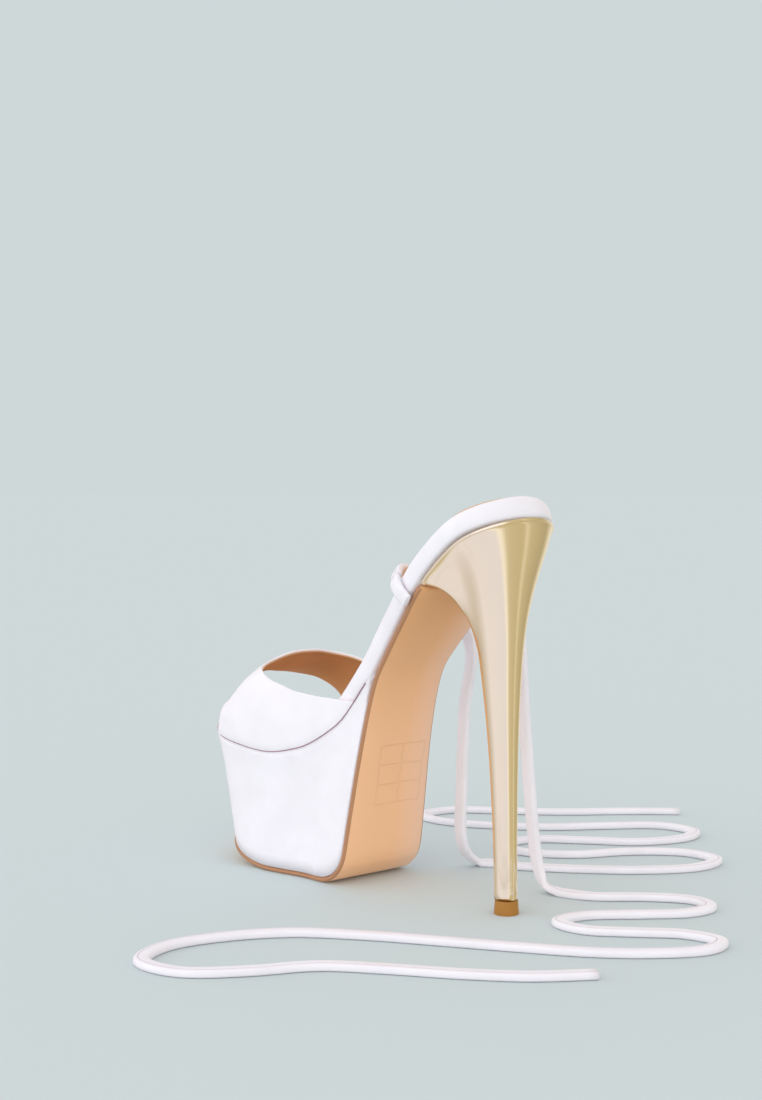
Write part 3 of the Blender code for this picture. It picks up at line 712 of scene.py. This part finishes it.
def tie_finish(name, color, roughness):
    """White leather with a stitched line along the strap, its groove darkened lilac with painted shade, on
    the strap's own UV map.
    """
    finish = leather_base(name, roughness)
    uv = finish.nodes.new("ShaderNodeUVMap")
    uv.uv_map = UV_MAP
    along, around, _ = finish.split(uv.outputs["UV"])
    groove = finish.calc("COMPARE", around, STITCH_AROUND, STITCH_WIDTH)
    stitch = finish.calc("PINGPONG", finish.calc("DIVIDE", along, STITCH_LENGTH), 0.5)
    stitch = finish.calc("MULTIPLY", groove, finish.calc("GREATER_THAN", stitch, STITCH_GAP))
    fine = finish.calc("MULTIPLY", finish.grain, FINE_GRAIN)
    relief = finish.calc("MULTIPLY_ADD", stitch, STITCH_RAISE, fine)
    finish.bump(finish.calc("SUBTRACT", relief, groove), STITCH_DEPTH)
    # Painted shade: the stitched groove is darkened towards lilac
    groove_shade = tuple(c * tint for c, tint in zip(color, STITCH_SHADE_TINT))
    finish.color(finish.ramp(finish.calc("SUBTRACT", finish.mottle, groove),
                             [(0.0, groove_shade), (0.2, shade_of(color, 0.97)), (0.7, shade_of(color, 1.03))]))
    return finish


def outsole_finish(name, color):
    """Smooth tan sheet, paler towards the ground, with a blank pressed size grid and fine ribs darkened by
    painted shade, and a painted sheen on its inner side.
    """
    finish = Finish(name, Coat_Weight=0.05, Coat_Roughness=0.45)
    finish.add_grain(Grain_Scale=1800, Mottle_Scale=30)
    side, _, height = finish.split(finish.place)

    def lines(source, start, pitch, width):
        """1 on lines a pitch apart, from a start, and 0 between them."""
        steps = finish.calc("DIVIDE", finish.calc("SUBTRACT", source, start), pitch)
        near = finish.calc("PINGPONG", steps, 0.5)
        return finish.stretch(near, 0.0, 1.0, width / pitch, width / pitch / 2)

    def within(source, low, high):
        """1 between two places, and 0 beyond them."""
        return finish.calc("COMPARE", source, (low + high) / 2, (high - low) / 2)

    (left, right), (bottom, top) = GRID_SIDE, GRID_HEIGHT
    marks = finish.calc("MAXIMUM", lines(side, left, (right - left) / GRID_COLUMNS, GRID_LINE),
                        lines(height, bottom, (top - bottom) / GRID_ROWS, GRID_LINE))
    marks = finish.calc("MULTIPLY", marks, within(side, left - GRID_LINE, right + GRID_LINE))
    marks = finish.calc("MULTIPLY", marks, within(height, bottom - GRID_LINE, top + GRID_LINE))
    ribs = finish.calc("MULTIPLY", lines(height, RIB_HEIGHT[0], RIB_PITCH, RIB_PITCH / 3),
                       within(height, *RIB_HEIGHT))
    marks = finish.calc("MAXIMUM", marks, ribs)
    rise = finish.stretch(height, 0.0, 1.0, 0.0, SEAT_HEIGHT)
    tone = finish.calc("MULTIPLY_ADD", finish.mottle, MOTTLE_TONE, rise)
    # Painted shade: the pressed grid and the ribs are darkened in their grooves
    tone = finish.calc("MULTIPLY_ADD", marks, MARK_SHADE, tone)
    tone = finish.calc("MULTIPLY_ADD", ribs, RIB_SHADE, tone)
    low = shade_of(color, 1.03)
    high = tuple(c * tint for c, tint in zip(color, SOLE_TOP_TINT))
    # Painted sheen: a pale pink highlight mixed into the colour towards the outsole's inner side
    painted_sheen_mix = finish.nodes.new("ShaderNodeMix")
    painted_sheen_mix.data_type = "RGBA"
    finish.links.new(finish.stretch(side, 0.0, PAINTED_SHEEN_SHARE, *PAINTED_SHEEN_SIDE), painted_sheen_mix.inputs["Factor"])
    finish.links.new(finish.ramp(tone, [(0.05, low), (0.45, color), (0.85, high)]), painted_sheen_mix.inputs["A"])
    painted_sheen_mix.inputs["B"].default_value = PAINTED_SHEEN_COLOR
    finish.color(painted_sheen_mix.outputs["Result"])
    finish.roughness(0.45, 0.58)
    fine = finish.calc("MULTIPLY", finish.grain, FINE_GRAIN)
    finish.bump(finish.calc("SUBTRACT", fine, marks), MARK_DEPTH)
    return finish


def plating_finish(name, color, roughness):
    """Satin gold plating with faint unevenness in its polish."""
    finish = Finish(name, Metallic=1.0)
    finish.add_grain(Mottle_Scale=40)
    finish.color(finish.ramp(finish.mottle, [(0.3, shade_of(color, 0.985)), (0.7, shade_of(color, 1.01))]))
    finish.roughness(roughness - 0.02, roughness + 0.02)
    return finish


def new_finish(name):
    """A finish by its name, in the colours of the panel."""
    scene = bpy.context.scene
    leather, sole, plating = scene.sandal_leather, scene.sandal_sole, scene.sandal_plating
    if name in PLAIN_FINISHES:
        values = dict(PLAIN_FINISHES[name])
        color = getattr(getattr(scene, values.pop("group")), values.pop("color"))
        return leather_finish(name, tuple(color), **values)
    if name == "white_leather":
        return leather_finish(name, tuple(leather.color), leather.roughness)
    if name == "tie_leather":
        return tie_finish(name, tuple(leather.color), leather.roughness + 0.05)
    if name == "outsole":
        return outsole_finish(name, tuple(sole.color))
    return plating_finish(name, tuple(plating.color), plating.roughness)


MATERIALS = {}


def finish_named(name):
    """A shared material, made when it is first asked for."""
    if name not in MATERIALS:
        MATERIALS[name] = new_finish(name).material
    return MATERIALS[name]


# Pieces

def dress(node, name, finish, crease=None):
    """A finished piece made of a frame node's own mesh, in its place."""
    return keep(name, node_mesh(node, crease), finish_named(finish), (node,))


def sweep(line, ups, section, mapped=False):
    """A section of sides and lifts carried along a line, as a closed tube, and its length."""
    last = len(line) - 1
    around = len(section)
    lengths = [0.0]
    for a, b in zip(line, line[1:]):
        lengths.append(lengths[-1] + (b - a).length)
    bm = bmesh.new()
    bmesh.ops.create_grid(bm, x_segments=around, y_segments=last, size=0.5)
    uv = bm.loops.layers.uv.new(UV_MAP) if mapped else None
    marks = {}
    for vert in bm.verts:
        i, k = round((vert.co.y + 0.5) * last), round((vert.co.x + 0.5) * around)
        marks[vert] = (lengths[i], k / around)
        run = (line[min(i + 1, last)] - line[max(i - 1, 0)]).normalized()
        up = (ups[i] - run * ups[i].dot(run)).normalized()
        side, lift = section[k % around]
        vert.co = line[i] + run.cross(up) * side + up * lift
    if mapped:
        for face in bm.faces:
            for loop in face.loops:
                loop[uv].uv = marks[loop.vert]
    bmesh.ops.remove_doubles(bm, verts=bm.verts, dist=WELD)
    bmesh.ops.holes_fill(bm, edges=[edge for edge in bm.edges if edge.is_boundary], sides=around)
    bmesh.ops.recalc_face_normals(bm, faces=bm.faces)
    return bm, lengths[-1]


def strap_section(width, thickness):
    """The outline of a flat strap with rounded corners."""
    corner = thickness * STRAP_CORNER
    section = []
    for right, top, start in ((1, 1, 0), (-1, 1, 90), (-1, -1, 180), (1, -1, 270)):
        for k in range(STRAP_CORNER_POINTS):
            angle = math.radians(start + 90 * k / (STRAP_CORNER_POINTS - 1))
            section.append((right * (width / 2 - corner) + corner * math.cos(angle),
                            top * (thickness / 2 - corner) + corner * math.sin(angle)))
    return section


def strap(node, route, values):
    """A flat strap that follows its route, with its own UV map in metres along it."""
    points = tie_points(route)
    line = spline([place for place, _ in points], values.steps)
    faces = spline([face.normalized() for _, face in points], values.steps)
    for place in line:
        place.z = max(place.z, TIE_FLOOR)
    bm, length = sweep(line, faces, strap_section(values.width, values.thickness), mapped=True)
    piece = keep(node + "_strap", bm, finish_named("tie_leather"), (node,))


def vamp_sheet(name, layer, finish, replaced=()):
    """One layer of the upper's wall, from its reach at the throat to its reach at the peep toe."""
    low, high, start = layer["low"], layer["high"], layer["start"]
    bm = bmesh.new()
    bmesh.ops.create_grid(bm, x_segments=VAMP_COLUMNS, y_segments=layer["rows"], size=0.5)
    spots = {}
    for vert in bm.verts:
        across = min(max(0.5 + vert.co.x, 0.0), 1.0)
        throat, peep = THROAT(across), PEEP(across)
        length = (vamp_point(peep, across) - vamp_point(throat, across)).length
        stop = layer["stop"] if layer["stop"] > 0 else length + layer["stop"]
        v = (start + (stop - start) * (vert.co.y + 0.5)) / length
        spots[vert] = (throat + (peep - throat) * v, across)
    for vert, (share, across) in spots.items():
        vert.co = vamp_point(share, across)
    bmesh.ops.recalc_face_normals(bm, faces=bm.faces)
    bm.normal_update()
    if sum(vert.normal.z for vert in bm.verts) < 0:
        bmesh.ops.reverse_faces(bm, faces=bm.faces)
        bm.normal_update()
    for vert in bm.verts:
        across = spots[vert][1]
        foot = max(0.0, 1 - min(across, 1 - across) / FOOT_TUCK_SHARE)
        vert.co += vert.normal * (low - FOOT_TUCK * foot * foot)
    piece = keep(name, bm, finish_named(finish), replaced)
    shell = piece.modifiers.new("wall", "SOLIDIFY")
    shell.thickness = high - low
    shell.offset = 1
    shell.use_even_offset = True
    return piece


def edge_round(piece, width, segments=3, angle=ROUND_ANGLE):
    """Round a piece's sharp edges."""
    bevel = piece.modifiers.new("round", "BEVEL")
    bevel.width = width
    bevel.segments = segments
    bevel.limit_method = "ANGLE"
    bevel.angle_limit = math.radians(angle)


def is_rim(mesh, face):
    """Whether a face of the bent outsole belongs to its narrow edge."""
    corners = [mesh.vertices[i].co for i in face.vertices]
    narrowest = min((a - b).length for a, b in zip(corners, corners[1:] + corners[:1]))
    turned = abs(face.normal.x)
    narrow = len(corners) == 4 and abs(narrowest - SOLE_THICKNESS) < RIM_SLACK
    return turned > RIM_FACING or (narrow and turned > RIM_TURN and face.normal.z > RIM_DOWN)


class SANDAL_OT_camera(bpy.types.Operator):
    """Stand the camera at the photograph's viewing angle"""
    bl_idname = "sandal.camera"
    bl_label = "Camera"

    def execute(self, context):
        values = context.scene.sandal_camera
        data = bpy.data.cameras.new("camera")
        data.lens = values.lens
        data.sensor_width = 36
        data.clip_start = 0.01
        camera = bpy.data.objects.new("camera", data)
        context.scene.collection.objects.link(camera)
        aim = Vector(values.aim).normalized()
        right = aim.cross(Vector((0, 0, 1))).normalized()
        turn = Matrix((right, right.cross(aim), -aim)).transposed()
        camera.matrix_world = Matrix.Translation(Vector(values.place)) @ turn.to_4x4()
        context.scene.camera = camera
        return {"FINISHED"}


class SANDAL_OT_ties(bpy.types.Operator):
    """Lay the two flat ties along their routes"""
    bl_idname = "sandal.ties"
    bl_label = "Ties"

    def execute(self, context):
        values = context.scene.sandal_ties
        for name, route in TIE_ROUTES.items():
            strap(name, route, values)
        return {"FINISHED"}


class SANDAL_OT_upper(bpy.types.Operator):
    """Make the vamp with its folded rims, its lining and the lining's cut edge"""
    bl_idname = "sandal.upper"
    bl_label = "Upper"

    def execute(self, context):
        outer = dict(OUTER_LAYER, high=context.scene.sandal_leather.wall)
        edge_round(vamp_sheet("vamp_outer", outer, "white_leather", ("vamp",)), OUTER_ROUND)
        edge_round(vamp_sheet("vamp_lining", LINING_LAYER, "lining"), LINING_ROUND, 2)
        vamp_sheet("vamp_lining_edge", BINDING_LAYER, "lining_edge")
        return {"FINISHED"}


class SANDAL_OT_footbed(bpy.types.Operator):
    """Wrap the footbed's rand in leather and lay the sock"""
    bl_idname = "sandal.footbed"
    bl_label = "Footbed and sock"

    def execute(self, context):
        subdivide(dress("footbed", "footbed_rand", "white_leather", CREASES["footbed"]))
        bm = node_mesh("insole_sock", CREASES["insole_sock"])
        for vert in bm.verts:
            vert.co -= DECK_RAIL.up(DECK_RAIL.reach(vert.co.y)) * SOCK_SINK
        subdivide(keep("sock_sheet", bm, finish_named("lining"), ("insole_sock",)))
        return {"FINISHED"}


class SANDAL_OT_sole(bpy.types.Operator):
    """Finish the outsole with its painted edge, and cover the platform"""
    bl_idname = "sandal.sole"
    bl_label = "Outsole and platform"

    def execute(self, context):
        sheet = dress("outsole", "outsole_sheet", "outsole", CREASES["outsole"])
        sheet.data.materials.append(finish_named("sole_edge"))
        for face in sheet.data.polygons:
            if is_rim(sheet.data, face):
                face.material_index = 1
        subdivide(sheet)
        subdivide(dress("platform", "platform_cover", "white_leather",
                        CREASES["platform"]))
        return {"FINISHED"}


class SANDAL_OT_seam_shade(bpy.types.Operator):
    """Run a dark tube of painted shade along the seam between the upper and the platform round the toe"""
    bl_idname = "sandal.seam"
    bl_label = "Platform seam"

    def execute(self, context):
        sides = {-1: [], 1: []}
        for i in range(SEAM_STEPS + 1):
            share = SEAM_START + (1 - SEAM_START) * math.sin(math.pi / 2 * i / SEAM_STEPS)
            out = float(np.interp(share, SEAM_FADE, (SEAM_OUT, -SEAM_WIDTH / 2)))
            along = deck_along(min(share, SEAM_TOE))
            for (side, line), edge in zip(sides.items(), deck_edges(share)):
                line.append(DECK_RAIL.place(along, edge + side * out, -SEAM_DROP))
        line = sides[-1][:-1] + sides[1][::-1]
        ups = [DECK_RAIL.up(DECK_RAIL.reach(place.y)) for place in line]
        turns = [2 * math.pi * k / SEAM_AROUND for k in range(SEAM_AROUND)]
        section = [(math.cos(turn) * SEAM_WIDTH / 2, math.sin(turn) * SEAM_WIDTH / 2) for turn in turns]
        # A dark tube of painted shade in the seam's groove
        keep("platform_seam", sweep(line, ups, section)[0], finish_named("seam"))
        return {"FINISHED"}


class SANDAL_OT_heel(bpy.types.Operator):
    """Plate the heel and finish its tip"""
    bl_idname = "sandal.heel"
    bl_label = "Heel and tip"

    def execute(self, context):
        subdivide(dress("heel", "heel_plated", "plating", CREASES["heel"]))
        edge_round(dress("heel_tip", "heel_top_piece", "heel_tip"), TIP_ROUND,
                   angle=TIP_ROUND_ANGLE)
        return {"FINISHED"}


class SANDAL_OT_tabs(bpy.types.Operator):
    """Finish the folded anchors of the ties"""
    bl_idname = "sandal.tabs"
    bl_label = "Tie tabs"

    def execute(self, context):
        for node in ("tie_tab_left", "tie_tab_right"):
            subdivide(dress(node, node + "_fold", "white_leather", CREASES["tie_tab"]))
        return {"FINISHED"}


class SANDAL_OT_stage(bpy.types.Operator):
    """Lay the pale floor and set the soft studio light"""
    bl_idname = "sandal.stage"
    bl_label = "Stage"

    def execute(self, context):
        values = context.scene.sandal_stage
        bm = bmesh.new()
        bmesh.ops.create_circle(bm, cap_ends=True, segments=64, radius=FLOOR_RADIUS)
        mesh = bpy.data.meshes.new("floor")
        bm.to_mesh(mesh)
        bm.free()
        floor = bpy.data.objects.new("floor", mesh)
        context.scene.collection.objects.link(floor)
        paper = Finish("floor_paper", Roughness=1.0, Specular_IOR_Level=0.0,
                       Base_Color=(*values.floor, 1))
        mesh.materials.append(paper.material)
        floor.visible_glossy = False
        studio_world(context.scene, values)
        sun = bpy.data.lights.new("key", "SUN")
        sun.energy = values.key
        sun.angle = math.radians(KEY_SPREAD)
        sun.color = KEY_COLOR
        lamp = bpy.data.objects.new("key", sun)
        context.scene.collection.objects.link(lamp)
        lamp.rotation_mode = "QUATERNION"
        lamp.rotation_quaternion = Vector(KEY_AIM).to_track_quat("-Z", "Y")
        context.scene.view_settings.view_transform = "Standard"
        return {"FINISHED"}


def studio_world(scene, values):
    """Soft light from all round, mirrored panels for the plating, and a plain backdrop for the camera."""
    world = bpy.data.worlds.new("studio")
    world.use_nodes = True
    nodes, links = world.node_tree.nodes, world.node_tree.links
    nodes.clear()
    place = nodes.new("ShaderNodeTexCoord").outputs["Generated"]

    def toward(direction):
        """How far the view runs along a direction."""
        dot = nodes.new("ShaderNodeVectorMath")
        dot.operation = "DOT_PRODUCT"
        dot.inputs[1].default_value = direction
        links.new(place, dot.inputs[0])
        return dot.outputs["Value"]

    def background(color=None, strength=1.0, source=None):
        """Light of one colour, or of a socket's colours."""
        node = nodes.new("ShaderNodeBackground")
        if isinstance(strength, bpy.types.NodeSocket):
            links.new(strength, node.inputs["Strength"])
        else:
            node.inputs["Strength"].default_value = strength
        if source is None:
            node.inputs["Color"].default_value = (*color, 1)
        else:
            links.new(source, node.inputs["Color"])
        return node.outputs["Background"]

    def mix(factor, first, second):
        """The second light where the factor is 1, else the first."""
        node = nodes.new("ShaderNodeMixShader")
        links.new(factor, node.inputs["Fac"])
        links.new(first, node.inputs[1])
        links.new(second, node.inputs[2])
        return node.outputs["Shader"]

    half = nodes.new("ShaderNodeMapRange")
    half.inputs["From Min"].default_value = -1
    links.new(toward(SKY_SIDE), half.inputs["Value"])
    fall = nodes.new("ShaderNodeMapRange")
    fall.inputs["To Min"].default_value = SKY_LOW * values.sky
    fall.inputs["To Max"].default_value = SKY_HIGH * values.sky
    links.new(toward((0, 0, 1)), fall.inputs["Value"])
    sky = color_ramp(nodes, links, half.outputs["Result"], SKY_TONES)
    turn = nodes.new("ShaderNodeMath")
    turn.operation = "ARCTAN2"
    links.new(toward(VIEW_RIGHT), turn.inputs[0])
    links.new(toward(VIEW_BACK), turn.inputs[1])
    share = nodes.new("ShaderNodeMapRange")
    share.inputs["From Min"].default_value = -math.pi
    share.inputs["From Max"].default_value = math.pi
    links.new(turn.outputs[0], share.inputs["Value"])
    panels = color_ramp(nodes, links, share.outputs["Result"],
                        [(0.5 + angle / 360, color) for angle, color in PANEL_TONES])
    path = nodes.new("ShaderNodeLightPath")
    lit = mix(path.outputs["Is Glossy Ray"], background(source=sky, strength=fall.outputs["Result"]),
              background(source=panels))
    seen = mix(path.outputs["Is Camera Ray"], lit, background(color=values.floor))
    out = nodes.new("ShaderNodeOutputWorld")
    links.new(seen, out.inputs["Surface"])
    scene.world = world


class SANDAL_PT_panel(bpy.types.Panel):
    """Buttons and values of the sandal"""
    bl_label = "Sandal"
    bl_idname = "SANDAL_PT_panel"
    bl_space_type = "VIEW_3D"
    bl_region_type = "UI"
    bl_category = "Sandal"

    def draw(self, context):
        for operator in OPERATORS:
            self.layout.operator(operator.bl_idname)
        for name, group in GROUPS.items():
            box = self.layout.box()
            for value in group.__annotations__:
                box.prop(getattr(context.scene, name), value)


OPERATORS = (SANDAL_OT_camera, SANDAL_OT_ties, SANDAL_OT_upper, SANDAL_OT_footbed, SANDAL_OT_sole,
             SANDAL_OT_seam_shade, SANDAL_OT_heel, SANDAL_OT_tabs, SANDAL_OT_stage)


def register():
    for name, group in GROUPS.items():
        bpy.utils.register_class(group)
        setattr(bpy.types.Scene, name, bpy.props.PointerProperty(type=group))
    for made in (*OPERATORS, SANDAL_PT_panel):
        bpy.utils.register_class(made)


def unregister():
    for made in reversed((*OPERATORS, SANDAL_PT_panel)):
        bpy.utils.unregister_class(made)
    for name, group in GROUPS.items():
        delattr(bpy.types.Scene, name)
        bpy.utils.unregister_class(group)


def main():
    register()
    for operator in OPERATORS:
        group, name = operator.bl_idname.split(".")
        getattr(getattr(bpy.ops, group), name)()


if __name__ == "__main__":
    main()
